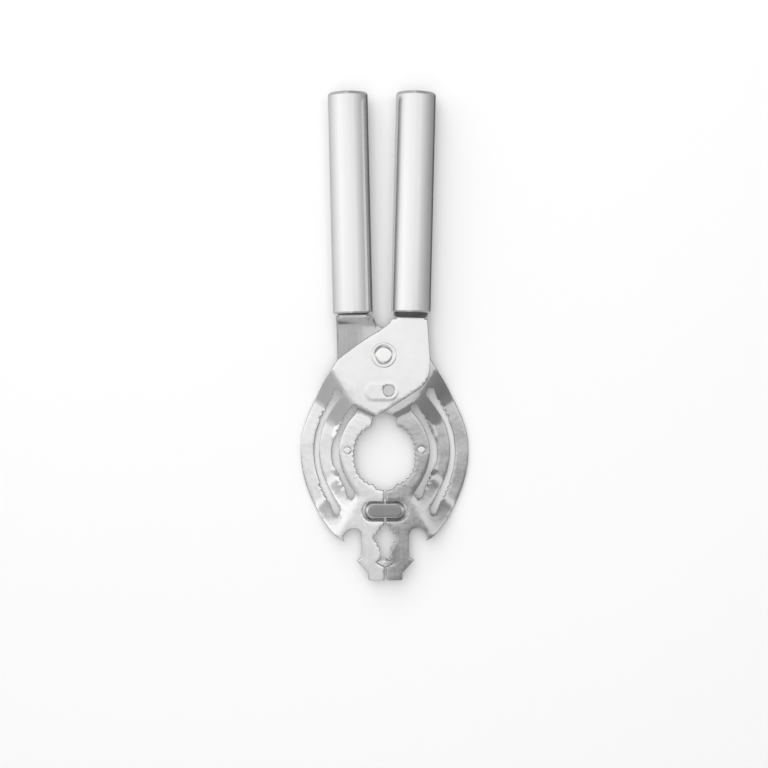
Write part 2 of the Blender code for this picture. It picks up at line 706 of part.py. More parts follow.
def build():
    clear_scene()
    parts = new_collection("jar_and_bottle_opener")
    cutters = new_collection("cutters")
    satin = new_material("satin_steel", (0.62, 0.62, 0.62), 1.0, 0.38)
    polished = new_material("polished_steel", (0.72, 0.72, 0.72), 1.0, 0.2)
    rivet_steel = new_material("rivet_steel", (0.75, 0.75, 0.74), 1.0, 0.25)
    moulded = new_material("dark_moulding", (0.02, 0.02, 0.02), 0.0, 0.5)

    rear_half = new_empty("rear_half_hinge", (PIVOT.x * MM, PIVOT.y * MM, 0.0), parts)
    front_top = FRONT_LEVEL + PLATE / 2
    rear_top = REAR_LEVEL + PLATE / 2
    rear_bottom = REAR_LEVEL - PLATE / 2
    ring_top = RING_LEVEL + PLATE / 2
    ring_bottom = RING_LEVEL - PLATE / 2

    make_left_jaw_plate(polished, parts)
    right = (RIGHT_ROOT_X, RIGHT_LEAN)
    make_tube("right_handle_tube", *right, RIGHT_MOUTH_Y, satin, parts)
    make_cap("right_end_cap", *right, satin, parts)
    make_core("right_handle_core", *right, RIGHT_CORE_Y, RIGHT_SHOULDER_Y, moulded, parts, cutters)
    make_tang_pin("right_tang_pin", *right, RIGHT_SHOULDER_Y, rivet_steel, parts)
    washer_gap = WASHER_THICKNESS + 2 * CLEARANCE
    headed_pin("pivot_rivet", PIVOT, PIVOT_SHANK, (PIVOT_HEAD, front_top + washer_gap, PIVOT_DOME),
               (PIVOT_HEAD, rear_bottom - washer_gap, PIVOT_TAIL), rivet_steel, parts, RIVET_STEPS)
    make_washer("pivot_front_washer", PIVOT, front_top + CLEARANCE, polished, parts)
    stud_top = (STUD_HEAD, ring_top + CLEARANCE, STUD_DOME)
    stud_tail = (STUD_HEAD, ring_bottom - CLEARANCE, STUD_TAIL)
    headed_pin("left_jaw_stud", mirrored(STUD_PLACE), STUD_SHANK, stud_top, stud_tail, rivet_steel, parts)
    make_guide_plate(polished, parts)
    make_locator(polished, parts)

    left = (LEFT_ROOT_X, LEFT_LEAN)
    moving = [make_right_jaw_plate(polished, parts)]
    moving.append(make_tube("left_handle_tube", *left, LEFT_MOUTH_Y, satin, parts))
    moving.append(make_cap("left_end_cap", *left, satin, parts))
    moving.append(make_core("left_handle_core", *left, LEFT_CORE_Y, LEFT_SHOULDER_Y, moulded, parts,
                            cutters))
    moving.append(make_tang_pin("left_tang_pin", *left, LEFT_SHOULDER_Y, rivet_steel, parts))
    moving.append(make_washer("pivot_rear_washer", PIVOT,
                              rear_bottom - CLEARANCE - WASHER_THICKNESS, polished, parts))
    moving.append(headed_pin("stop_stud", STOP_CLOSED, STOP_SHANK,
                             (STOP_HEAD, rear_top + CLEARANCE, STOP_DOME),
                             (STOP_HEAD, rear_bottom - CLEARANCE, STOP_TAIL), rivet_steel, parts))
    moving.append(headed_pin("right_jaw_stud", STUD_PLACE, STUD_SHANK, stud_top, stud_tail,
                             rivet_steel, parts))
    for obj in moving:
        attach(obj, rear_half)


build()
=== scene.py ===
"""Looks of the pliers-type jar and bottle opener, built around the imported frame.

The two jaw plates are rebuilt as bent sheets with rounded bends and edges, the
handles and rivets as finely turned pieces.  Lengths in the constants are in
millimetres, unless a comment says metres, and become metres when a mesh is made.
"""

import math

import bmesh
import bpy
from mathutils import Matrix, Vector
from mathutils.geometry import delaunay_2d_cdt


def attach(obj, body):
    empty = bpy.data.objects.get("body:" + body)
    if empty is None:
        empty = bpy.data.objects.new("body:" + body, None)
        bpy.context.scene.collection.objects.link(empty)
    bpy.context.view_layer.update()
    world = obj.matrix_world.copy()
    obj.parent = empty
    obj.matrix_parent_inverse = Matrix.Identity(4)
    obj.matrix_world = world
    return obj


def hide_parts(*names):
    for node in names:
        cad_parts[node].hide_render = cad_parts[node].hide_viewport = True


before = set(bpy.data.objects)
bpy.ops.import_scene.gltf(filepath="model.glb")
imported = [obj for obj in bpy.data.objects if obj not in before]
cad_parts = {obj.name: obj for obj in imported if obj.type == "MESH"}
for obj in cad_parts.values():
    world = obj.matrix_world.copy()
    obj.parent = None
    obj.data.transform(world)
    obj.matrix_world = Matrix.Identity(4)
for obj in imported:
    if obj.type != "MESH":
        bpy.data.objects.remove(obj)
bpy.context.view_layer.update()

MM = 0.001

# Plates
PLATE = 1.5
FRONT_LEVEL = 8.5
REAR_LEVEL = 6.7
RING_LEVEL = 6.0
MIDDLE_LEVEL = 2.6
OUTER_LEVEL = 0.75
PIVOT = Vector((0.0, -8.0))
BITE = Vector((0.0, -49.2))
SPLIT_HALF_GAP = 0.45
HALF_WIDTH = 36.3
OUTER_BENDS = (-60.0, -38.5, 39.5, 55.0)
MIDDLE_BENDS = (-60.0, -29.0, 31.5, 54.0)
JOG_INNER = Vector((4.9, -34.9))
JOG_OUTER = Vector((11.9, -31.4))
JOG_WIDTH = 1.8
TANG_JOG = (5.2, 7.8)
EDGE_ROUNDING = 0.3
SHARP_ABOVE = math.radians(50.0)

# Rounding at both ends of a bend, as a share of its width: the upper bends, the crisp creases at the tip and
# the tang, the long steps between ring, band and flange, and the fall beside the left tang
BEND_SOFTNESS = 0.28
CREASE_SOFTNESS = 0.13
STEP_SOFTNESS = 0.2
LEAN_SOFTNESS = 0.3

# Radii about BITE of the ring's outside, the middle band's two sides and the flange's inside, each with its
# growth towards the ends of the bands
BAND_EDGES = ((19.6, 1.3), (22.6, 1.6), (28.2, 2.0), (30.1, 2.6))
BOW_ANGLE = 50.0
BOW_LIMIT = 60.0

# Points of the sheets: even ones along the edges, close rows across the bent bands, wide ones on the flats
RIM_SPACING = 1.2
FINE_SPACING = 0.75
FLAT_SPACING = 1.6
FINE_RADII = (14.0, 46.0)
FINE_ANGLES = (-64.0, 60.0)
FLAT_BOX = ((-24.0, 30.0), (-106.0, 36.0))

# One tooth and one scallop: (share of the pitch, share of the depth) of their points
TOOTH = ((0.0, 0.0), (0.22, 0.62), (0.45, 1.0), (0.72, 0.55))
SCALLOP = ((0.0, -0.5), (0.2, 0.15), (0.5, 0.5), (0.8, 0.15))

# Slopes: the polished jaws fall slightly outwards, and the rear plate falls away beside the left tang
JAW_LEAN = 0.05
JAW_LEAN_AXIS = 10.0
REAR_LEAN = 0.09
REAR_LEAN_START = Vector((-6.0, 5.0))
REAR_LEAN_SIDE = (5.6, 13.0)

# Handles
TUBE_RADIUS = 8.5
TUBE_WALL = 1.0
ROOT_Y = 8.0
RIGHT_ROOT_X = 11.65
LEFT_ROOT_X = -13.1
RIGHT_LEAN = math.radians(1.83)
LEFT_LEAN = math.radians(-0.91)
RIGHT_MOUTH_Y = 10.2
LEFT_MOUTH_Y = 9.9
RIGHT_CORE_Y = 7.9
LEFT_CORE_Y = 9.3
RIGHT_SHOULDER_Y = 7.5
LEFT_SHOULDER_Y = 9.0
HALF_LENGTH = 105.0
END_ROUNDING = 1.2
CAD_END_ROUNDING = 0.9
SEAM = 0.05
LIP_ROUNDING = 0.7
CORE_LENGTH = 32.0
CORE_NOSE = 1.8
SLOT_CLEARANCE = 0.1
TANG_WIDTH = 12.0
TANG_LENGTH = 25.0
PIN_FROM_SHOULDER = 16.0
PIN_HOLE_RADIUS = 1.5

# Openings and small pieces
HOLE_CENTRE_Y = -51.3
HOLE_RADIUS = 13.1
HOLE_CORNER = 0.85
HOLE_TEETH = 13
TOOTH_DEPTH = 0.8
FINE_TOOTH_DEPTH = 0.6
WINDOW_Y = -75.2
WINDOW_HALF_LENGTH = 9.8
WINDOW_HALF_HEIGHT = 4.3
LOCATOR_Y = -97.2
LOCATOR_HALF_WIDTH = 3.6
LOCATOR_HALF_HEIGHT = 1.75
LOCATOR_PEAK = 0.3
GUIDE_HALF_LENGTH = 11.6
GUIDE_HALF_HEIGHT = 5.3
GUIDE_THICKNESS = 0.9
GUIDE_TOP = RING_LEVEL - PLATE / 2 - 0.3
PLATEAU_HALF_LENGTH = 7.3
PLATEAU_HALF_HEIGHT = 2.6
PLATEAU_SLOPE = 1.7
PLATEAU_RISE = 0.8
PIVOT_SHANK = 2.6
PIVOT_HOLE_RADIUS = 2.9
WASHER_RADIUS = 5.4
WASHER_THICKNESS = 0.5
EDGE_LIFT = 0.2
POCKET_CENTRE = Vector((-1.1, -23.6))
POCKET_HALF_LENGTH = 7.5
POCKET_HALF_HEIGHT = 4.2
POCKET_RISE = 0.08
POCKET_SLOPE = 0.9
PORT_CENTRE = Vector((2.0, -23.2))
PORT_RADIUS = 2.4
STOP_CLOSED = Vector((-4.3, -23.4))
STOP_HOLE_RADIUS = 1.7
STUD_PLACE = Vector((15.95, -48.9))
STUD_HOLE_RADIUS = 1.2

# Materials: sizes of the noises in repeats per metre
CLOUD_SCALE = 75.0
SPECK_SCALE = 1400.0
MOULD_CLOUD_SCALE = 160.0
MOULD_GRAIN_SCALE = 2600.0

# Materials, in metres: the height of the pressed jaws' unevenness, which gives way to the flat hub's between
# two places along Y, and painted shade on the guide plate's raised top, which darkens to a share of its grey
# between two heights
PRESSED_WAVE = 0.00016
PRESSED_ALONG_Y = (-0.036, -0.028)
PLATEAU_PAINTED_SHADE = ((GUIDE_TOP + PLATEAU_RISE) * MM - 0.00012, (GUIDE_TOP + PLATEAU_RISE) * MM - 0.00004, 0.42)

# Painted shade on the sheets' cut edges: between the first two values of the normal's Z, the grey rises from
# the third, a share of itself, to all of it
EDGE_PAINTED_SHADE = (0.3, 0.75, 0.3)

# The camera looks straight down; its picture is VIEW_WIDTH wide at the plates
VIEW_WIDTH = 330.2
VIEW_DISTANCE = 850.0
VIEW_CENTRE = Vector((0.0, -20.4))
VIEW_ROLL = math.radians(-0.44)

# The studio: greys by the direction's angle in degrees from straight up, to the left negative
SKY_BAND = ((-180, 0.3), (-128, 0.5), (-97, 0.68), (-54, 0.95), (-23, 0.88), (-12, 0.82),
            (0, 0.84), (12, 0.8), (23, 0.82), (35, 0.75), (47, 0.62), (74, 0.43), (97, 0.3),
            (123, 0.25), (144, 0.06), (180, 0.12))
SKY_WALLS = ((-180, 0.42), (-90, 0.36), (-60, 0.36), (-29, 0.36), (-15, 0.5), (-7, 0.57),
             (-2, 0.54), (2, 0.4), (6, 0.23), (15, 0.24), (29, 0.24), (60, 0.2), (90, 0.3),
             (180, 0.38))
SKY_STRENGTH = 1.45

# The band fades into the walls between these parts of the direction towards -Y and towards +Y
WALL_NEAR = (0.005, 0.07)
WALL_FAR = (0.2, 0.3)

# Lamps: place and side in metres, power in watts
OVERHEAD = ((0.0, 0.0, 1.2), 0.9, 4.8)
KEY = ((-0.3, 0.85, 0.9), 1.2, 6.5)

# Floor, in metres
FLOOR_SIZE = 4.0
FLOOR_LEVEL = -0.0002


# ---------------------------------------------------------------- outline helpers

def smooth(points, steps=6):
    """Points on a smooth curve (Catmull-Rom) through the given points, both ends kept."""
    points = [Vector(p) for p in points]
    padded = [2 * points[0] - points[1]] + points + [2 * points[-1] - points[-2]]
    curve = []
    for a, b, c, d in zip(padded, padded[1:], padded[2:], padded[3:]):
        for step in range(steps):
            t = step / steps
            curve.append(0.5 * (2 * b + (c - a) * t + (2 * a - 5 * b + 4 * c - d) * t ** 2
                                + (3 * b - a - 3 * c + d) * t ** 3))
    return curve + [points[-1]]


def teeth(start, end, count, depth):
    """A row of saw teeth from start to end, biting to the right of that direction."""
    start, end = Vector(start), Vector(end)
    along = (end - start) / count
    side = Vector((along.y, -along.x)).normalized() * depth
    row = []
    for index in range(count):
        foot = start + along * index
        row += [foot + along * share + side * reach for share, reach in TOOTH]
    return row + [end]


def arc(centre, radius, first, last, steps):
    """Points on an arc, angles in degrees, both ends kept."""
    centre = Vector(centre)
    angles = [math.radians(first + (last - first) * i / steps) for i in range(steps + 1)]
    return [centre + radius * Vector((math.cos(a), math.sin(a))) for a in angles]


def circle(centre, radius, steps=40):
    """Points on a full circle, the first one not repeated."""
    return arc(centre, radius, 0.0, 360.0, steps)[:-1]


def stadium(centre, half_length, half_height, steps):
    """Points on a slot shape with round ends, along X."""
    reach = Vector((half_length - half_height, 0.0))
    centre = Vector(centre)
    return (arc(centre + reach, half_height, -90.0, 90.0, steps)
            + arc(centre - reach, half_height, 90.0, 270.0, steps))


def toothed_hole(first, last, count, depth):
    """Side of the centre hole, fuller at its diagonals: a row of shallow scallops, four points each."""
    pitch = (last - first) / count
    points = []
    for index in range(count):
        for share, reach in SCALLOP:
            angle = math.radians(first + pitch * (index + share))
            radius = HOLE_RADIUS + HOLE_CORNER * math.sin(2.0 * angle) ** 2 + reach * depth
            points.append(Vector((radius * math.cos(angle),
                                  HOLE_CENTRE_Y + radius * math.sin(angle))))
    return points


# ---------------------------------------------------------------- plate outline, seen with its jaw at +X

def tang_outline(root_x, lean, shoulder_y):
    """Four corners of the tang, from the foot round its end and back."""
    along = Vector((math.sin(lean), math.cos(lean)))
    across = Vector((along.y, -along.x)) * (TANG_WIDTH / 2)
    foot = Vector((root_x, ROOT_Y)) + along * (shoulder_y - ROOT_Y)
    top = foot + along * TANG_LENGTH
    return [foot + across, top + across, top - across, foot - across]


def centre_hole_edge():
    """From the split round the centre hole to the jaw's neck."""
    toothed = toothed_hole(-66.0, 62.0, HOLE_TEETH, TOOTH_DEPTH)
    return ([(SPLIT_HALF_GAP, -66.3), (3.6, -65.7)] + toothed
            + [(5.6, -38.6), JOG_INNER, (0.0, -32.3)])


def small_hole_edge():
    """Side of the small toothed hole near the tip."""
    return ([(1.8, -95.4), (1.9, -93.6)]
            + teeth((2.4, -92.2), (4.6, -88.2), 2, -TOOTH_DEPTH)
            + [(5.0, -86.7)]
            + teeth((4.6, -85.2), (2.2, -82.0), 2, -TOOTH_DEPTH)
            + [(1.3, -81.4), (SPLIT_HALF_GAP, -81.1)])


def window_edge():
    """Side of the window that shows the guide plate."""
    end = arc((WINDOW_HALF_LENGTH - WINDOW_HALF_HEIGHT, WINDOW_Y), WINDOW_HALF_HEIGHT, -90, 90, 20)
    return [(SPLIT_HALF_GAP, end[0].y)] + end + [(SPLIT_HALF_GAP, end[-1].y)]


def tip_edge():
    """From the lifter notch down the stem to the end of the split."""
    notch = smooth([(17.6, -88.2), (18.0, -86.2), (16.6, -83.9), (13.6, -82.6), (11.2, -83.5),
                    (10.2, -86.0)])
    return (notch + [(10.3, -94.9), (12.3, -96.5), (7.4, -101.8), (7.35, -104.3), (6.9, -105.0),
                     (0.9, -105.0), (SPLIT_HALF_GAP, -104.6)])


def jaw_side():
    """Outside of the jaw, from the hub to the lifter notch."""
    return smooth([(20.1, -9.9), (23.2, -14.8), (26.4, -20.1), (30.0, -27.2), (33.3, -34.4),
                   (35.6, -41.6), (HALF_WIDTH, -49.2), (35.7, -56.8), (33.9, -64.2), (30.9, -71.6),
                   (26.9, -79.0), (21.6, -85.6), (17.6, -88.2)])


def notch_for_locator():
    """Side of the opening that the locator sits in."""
    half = LOCATOR_HALF_HEIGHT + 0.3
    reach = LOCATOR_HALF_WIDTH + 0.6
    return [(SPLIT_HALF_GAP, LOCATOR_Y - half), (reach, LOCATOR_Y)]


def plate_outline(root_x, lean, shoulder_y, inner_corner):
    """Outline of a whole plate: tang, hub, jaw, tip, and back along the split and the holes."""
    tang = tang_outline(root_x, lean, shoulder_y)
    outline = [(tang[3].x - 1.2, shoulder_y), tang[3], tang[2], tang[1], tang[0]]
    outline += inner_corner
    outline += smooth([(1.0, 3.2), (7.6, -0.8), (14.7, -5.8), (20.1, -9.9)])[:-1]
    outline += jaw_side()[:-1]
    outline += tip_edge()
    outline += notch_for_locator()
    outline += small_hole_edge()
    outline += window_edge()
    outline += centre_hole_edge()
    outline += smooth([(-15.8, -22.3), (-18.1, -19.7), (-19.4, -16.6), (-19.95, -11.0)])
    return [Vector(p) for p in outline]


def outer_slit():
    """Slit between the middle band and the toothed flange."""
    middle_side = smooth([(19.2, -74.6), (24.2, -65.0), (27.2, -57.6), (28.3, -49.2), (27.1, -40.8),
                          (24.4, -34.2), (18.2, -25.2)])
    top = smooth([(18.2, -25.2), (18.4, -23.4), (19.6, -22.2), (21.4, -22.4)], 3)[1:-1]
    between_teeth = smooth([(27.9, -36.2), (29.8, -42.0), (30.6, -49.2), (30.0, -56.4), (28.0, -63.2)])
    flange_side = ([Vector((21.4, -22.4))] + teeth((23.2, -27.4), (27.9, -36.2), 4, -TOOTH_DEPTH)
                   + between_teeth[1:-1] + teeth((28.0, -63.2), (24.2, -71.4), 4, -TOOTH_DEPTH))
    bottom = smooth([(22.0, -76.4), (21.0, -76.9), (19.8, -76.2), (19.2, -74.6)], 3)[:-1]
    return middle_side + top + flange_side + bottom


def inner_slit():
    """Slit between the ring and the toothed middle band."""
    ring_side = smooth([(12.6, -67.4), (15.6, -62.9), (18.5, -56.4), (19.6, -49.2), (18.5, -43.0),
                        (15.6, -36.8), (11.6, -32.0)])
    top = smooth([(11.6, -32.0), (11.6, -30.0), (12.6, -29.0), (13.9, -29.3)], 3)[1:]
    between_teeth = smooth([(21.4, -42.8), (22.5, -46.0), (22.9, -50.0), (22.6, -54.4), (21.5, -56.6)], 4)
    middle_side = (teeth((16.6, -33.6), (20.2, -41.2), 4, -FINE_TOOTH_DEPTH) + between_teeth
                   + teeth((19.8, -59.2), (17.6, -64.4), 3, -FINE_TOOTH_DEPTH))
    bottom = smooth([(16.0, -69.2), (14.9, -69.9), (13.4, -69.3), (12.6, -67.4)], 3)[:-1]
    return ring_side + top + middle_side + bottom


# ---------------------------------------------------------------- plate height

def soft_step(value, low, high, softness=BEND_SOFTNESS):
    """0 below low, 1 above high, straight between, with both corners rounded."""
    def rise(t):
        if t <= -softness:
            return 0.0
        if t >= softness:
            return t
        return (t + softness) ** 2 / (4 * softness)
    t = (value - low) / (high - low)
    return rise(t) - rise(t - 1.0)


def ramp(angle, bends, low, tip, body):
    """Height along a band: tip level, down to low, flat, and up to the plate body."""
    tip_end, low_start, low_end, body_start = bends
    return (tip + (low - tip) * soft_step(angle, tip_end, low_start, CREASE_SOFTNESS)
            + (body - low) * soft_step(angle, low_end, body_start))


def band_edges(angle):
    """Radii of the ring's outside, the middle band's two sides and the flange's inside at an angle."""
    bow = min(abs(angle), BOW_LIMIT) / BOW_ANGLE
    return [radius + growth * bow ** 2 for radius, growth in BAND_EDGES]


def plate_height(point, body, tang):
    """Mid-height of a plate at a point, with the jaw at +X; the rear plate's tang lies above its body."""
    if point.x < 0.0 and tang != body:
        away = (REAR_LEAN_START - point).dot(Vector((1.0, 1.0))) / math.sqrt(2.0)
        dip = REAR_LEAN * max(0.0, away) * soft_step(-point.x, *REAR_LEAN_SIDE, LEAN_SOFTNESS)
        return body - dip + (tang - body + dip) * soft_step(point.y, *TANG_JOG, CREASE_SOFTNESS)
    offset = point - BITE
    radius = offset.length
    angle = math.degrees(math.atan2(offset.y, offset.x))
    ring_edge, middle_inside, middle_outside, flange_inside = band_edges(angle)
    fall = JAW_LEAN * (point.x - JAW_LEAN_AXIS)
    ring_level = RING_LEVEL - fall
    outer_level = OUTER_LEVEL + JAW_LEAN * (HALF_WIDTH - point.x)
    jog_along = (JOG_OUTER - JOG_INNER).normalized()
    above_jog = (point - JOG_INNER).dot(Vector((-jog_along.y, jog_along.x)))
    ring = ring_level + (body - ring_level) * soft_step(above_jog, 0.0, JOG_WIDTH, STEP_SOFTNESS)
    middle = ramp(angle, MIDDLE_BENDS, MIDDLE_LEVEL - fall, ring_level, body)
    outer = ramp(angle, OUTER_BENDS, outer_level, ring_level, body)
    outward = middle + (outer - middle) * soft_step(radius, middle_outside, flange_inside, STEP_SOFTNESS)
    return ring + (outward - ring) * soft_step(radius, ring_edge, middle_inside, STEP_SOFTNESS)


# ---------------------------------------------------------------- bent sheets

def add_object(name, data):
    """A new object in the scene."""
    obj = bpy.data.objects.new(name, data)
    bpy.context.scene.collection.objects.link(obj)
    return obj


def inside(point, loop):
    """Even-odd test of a point in a closed loop."""
    hit = False
    for a, b in zip(loop, loop[1:] + loop[:1]):
        if (a.y > point.y) != (b.y > point.y):
            hit ^= point.x < a.x + (b.x - a.x) * (point.y - a.y) / (b.y - a.y)
    return hit


def in_metal(point, loops):
    """Whether a point lies inside the outline (the first loop) and outside every hole."""
    return inside(point, loops[0]) and not any(inside(point, hole) for hole in loops[1:])


def signed_area(loop):
    """Area of a loop, positive where it runs counter-clockwise."""
    return 0.5 * sum(a.x * b.y - b.x * a.y for a, b in zip(loop, loop[1:] + loop[:1]))


def finer(loop, longest):
    """The same loop with its long edges divided."""
    points = []
    for a, b in zip(loop, loop[1:] + loop[:1]):
        count = max(1, math.ceil((b - a).length / longest))
        points += [a + (b - a) * step / count for step in range(count)]
    return points


def tidy_loop(loop, shortest=0.12):
    """Drop points that nearly coincide with the one before."""
    kept = [loop[0]]
    for point in loop[1:]:
        if (point - kept[-1]).length > shortest:
            kept.append(point)
    if (kept[-1] - kept[0]).length <= shortest:
        kept.pop()
    return kept


def offset_loop(loop, distance):
    """Move a loop to its left, which is into the metal; at hairpins it follows one side."""
    count = len(loop)
    moved = []
    for index, point in enumerate(loop):
        before = (point - loop[index - 1]).normalized()
        after = (loop[(index + 1) % count] - point).normalized()
        normal = Vector((-before.y - after.y, before.x + after.x))
        if normal.length < 0.2:
            normal = Vector((-after.y, after.x)) * 2
        normal.normalize()
        slant = max(0.5, normal.dot(Vector((-after.y, after.x))))
        moved.append(point + normal * (distance / slant))
    return moved


def sample_points():
    """Points for a plate: on arcs across the bands, on a grid elsewhere, and across both jogs."""
    points = []
    first, last = FINE_ANGLES
    radius = FINE_RADII[0]
    while radius < FINE_RADII[1]:
        turn = math.degrees(FINE_SPACING / radius)
        for step in range(int((last - first) / turn)):
            angle = math.radians(first + turn * step)
            points.append(BITE + radius * Vector((math.cos(angle), math.sin(angle))))
        radius += FINE_SPACING
    (x, right), (near, far) = FLAT_BOX
    while x < right:
        y = near
        while y < far:
            spot = Vector((x, y))
            angle = math.degrees(math.atan2(y - BITE.y, x))
            if not (first - 1.0 < angle < last + 1.0 and (spot - BITE).length > FINE_RADII[0] - 1.0):
                points.append(spot)
            y += FLAT_SPACING
        x += FLAT_SPACING
    jog_along = (JOG_OUTER - JOG_INNER).normalized()
    jog_up = Vector((-jog_along.y, jog_along.x))
    for row in range(-3, 12):
        for step in range(-3, 16):
            points.append(JOG_INNER + jog_along * (step * 0.6) + jog_up * (row * 0.28 - 0.1))
    y = TANG_JOG[0] - 0.6
    while y < TANG_JOG[1] + 0.8:
        points += [Vector((-20.0 + 1.1 * step, y)) for step in range(19)]
        y += 0.3
    return points


def keep_clear(points, loops, gap):
    """Points that lie in the metal and not closer than gap to its edge or to each other."""
    taken = set()
    for loop in loops:
        for point in finer(loop, gap):
            for dx in (-1, 0, 1):
                for dy in (-1, 0, 1):
                    taken.add((math.floor(point.x / gap) + dx, math.floor(point.y / gap) + dy))
    kept = []
    used = set()
    for point in points:
        key = (math.floor(point.x / gap), math.floor(point.y / gap))
        if key in taken or key in used:
            continue
        if in_metal(point, loops):
            used.add(key)
            kept.append(point)
    return kept


def prepared(loops):
    """Loops with even spacing: the outline counter-clockwise, the holes clockwise."""
    loops = [tidy_loop(finer(tidy_loop(loop), RIM_SPACING)) for loop in loops]
    return [loop if (signed_area(loop) > 0) == (index == 0) else loop[::-1]
            for index, loop in enumerate(loops)]


def triangulated(loops, extra, gap):
    """Flat triangles between the loops: points, counter-clockwise faces, and where each loop point went."""
    points, edges = [], []
    for loop in loops:
        first = len(points)
        points += loop
        edges += [(first + i, first + (i + 1) % len(loop)) for i in range(len(loop))]
    points += keep_clear(extra, loops, gap)
    flat, _, faces, origins, _, _ = delaunay_2d_cdt(points, edges, [], 0, 0.001)
    place = {}
    for out, sources in enumerate(origins):
        for source in sources:
            place[source] = out
    kept = []
    for face in faces:
        ring = [flat[i] for i in face]
        if in_metal(sum(ring, Vector((0.0, 0.0))) / len(face), loops):
            kept.append(face if signed_area(ring) > 0 else face[::-1])
    return flat, kept, place


def sheet(name, loops, extra, height, thickness, mirror, gap=0.45, rounding=EDGE_ROUNDING):
    """A closed sheet with rounded edges from flat loops (the outline first) and a height function."""
    loops = prepared(loops)
    inset = [offset_loop(loop, rounding) for loop in loops]
    flat, faces, place = triangulated(inset, extra, gap)
    mesh = bmesh.new()
    half = thickness / 2

    def vert(p, level):
        return mesh.verts.new((p.x, p.y, height(p) + level))

    top = [vert(p, half) for p in flat]
    bottom = [vert(p, -half) for p in flat]
    for face in faces:
        mesh.faces.new([top[i] for i in face])
        mesh.faces.new([bottom[i] for i in reversed(face)])
    soft = rounding * 0.3
    first = 0
    for loop in loops:
        count = len(loop)
        part = offset_loop(loop, soft)
        rings = [[top[place[first + i]] for i in range(count)],
                 [vert(p, half - soft) for p in part],
                 [vert(p, half - rounding) for p in loop],
                 [vert(p, rounding - half) for p in loop],
                 [vert(p, soft - half) for p in part],
                 [bottom[place[first + i]] for i in range(count)]]
        for upper, lower in zip(rings, rings[1:]):
            for i in range(count):
                j = (i + 1) % count
                mesh.faces.new((upper[j], upper[i], lower[i], lower[j]))
        first += count
    bmesh.ops.delete(mesh, geom=[v for v in mesh.verts if not v.link_faces], context="VERTS")
    bmesh.ops.transform(mesh, matrix=Matrix.Diagonal((-MM if mirror else MM, MM, MM, 1.0)),
                        verts=mesh.verts)
    if mirror:
        bmesh.ops.reverse_faces(mesh, faces=mesh.faces)
    data = bpy.data.meshes.new(name)
    mesh.to_mesh(data)
    mesh.free()
    data.shade_smooth()
    data.set_sharp_from_angle(angle=SHARP_ABOVE)
    obj = add_object(name, data)
    flats = obj.modifiers.new("flats", "WEIGHTED_NORMAL")
    flats.keep_sharp = True
    flats.weight = 90
    return obj


def mirrored(point):
    """The point on the other side of the YZ plane."""
    return Vector((-point[0], point[1]))


def pin_hole(root_x, lean, shoulder_y):
    """Hole of the cross pin in the tang."""
    along = Vector((math.sin(lean), math.cos(lean)))
    centre = Vector((root_x, ROOT_Y)) + along * (shoulder_y - ROOT_Y + PIN_FROM_SHOULDER)
    return circle(centre, PIN_HOLE_RADIUS, 16)


def make_front_plate():
    """Plate with the right handle's tang, the left jaw, and the raised pocket with the stop's port."""
    outline = plate_outline(-RIGHT_ROOT_X, -RIGHT_LEAN, RIGHT_SHOULDER_Y,
                            [(-3.4, RIGHT_SHOULDER_Y), (-2.7, 5.9)])
    loops = [outline, outer_slit(), inner_slit(), circle(PIVOT, PIVOT_HOLE_RADIUS),
             circle(mirrored(PORT_CENTRE), PORT_RADIUS), circle(STUD_PLACE, STUD_HOLE_RADIUS, 20),
             pin_hole(-RIGHT_ROOT_X, -RIGHT_LEAN, RIGHT_SHOULDER_Y)]
    centre = mirrored(POCKET_CENTRE)
    extra = []
    for row in range(8):
        grown = 0.3 - row * 0.25
        extra += finer(stadium(centre, POCKET_HALF_LENGTH + grown, POCKET_HALF_HEIGHT + grown, 20), 0.6)

    def height(point):
        reach = max(0.0, abs(point.x - centre.x) - (POCKET_HALF_LENGTH - POCKET_HALF_HEIGHT))
        away = Vector((reach, point.y - centre.y)).length
        raised = 1.0 - soft_step(away, POCKET_HALF_HEIGHT - POCKET_SLOPE, POCKET_HALF_HEIGHT, 0.35)
        return plate_height(point, FRONT_LEVEL, FRONT_LEVEL) + POCKET_RISE * raised

    return sheet("front_plate", loops, extra + sample_points(), height, PLATE, True)


def make_rear_plate():
    """Plate with the left handle's tang, the right jaw and the stop stud."""
    outline = plate_outline(LEFT_ROOT_X, LEFT_LEAN, LEFT_SHOULDER_Y,
                            [(-5.2, LEFT_SHOULDER_Y), (-3.7, 7.0), (-3.2, 5.2)])
    loops = [outline, outer_slit(), inner_slit(), circle(PIVOT, PIVOT_HOLE_RADIUS),
             circle(STOP_CLOSED, STOP_HOLE_RADIUS, 20), circle(STUD_PLACE, STUD_HOLE_RADIUS, 20),
             pin_hole(LEFT_ROOT_X, LEFT_LEAN, LEFT_SHOULDER_Y)]

    def height(point):
        return plate_height(point, REAR_LEVEL, FRONT_LEVEL)

    return sheet("rear_plate", loops, sample_points(), height, PLATE, False)


# ---------------------------------------------------------------- turned pieces

def turned(name, profile, steps=96, closed=False):
    """A solid of revolution about local Z; the profile (radius, z) runs down its outer side."""
    mesh = bpy.data.meshes.new(name)
    count = len(profile)
    edges = [(i, i + 1) for i in range(count - 1)]
    if closed:
        edges.append((count - 1, 0))
    mesh.from_pydata([(radius * MM, 0.0, z * MM) for radius, z in profile], edges, [])
    obj = add_object(name, mesh)
    screw = obj.modifiers.new("turn", "SCREW")
    screw.axis = "Z"
    screw.steps = steps
    screw.render_steps = steps
    screw.use_merge_vertices = True
    screw.merge_threshold = 0.000001
    screw.use_smooth_shade = True
    return obj


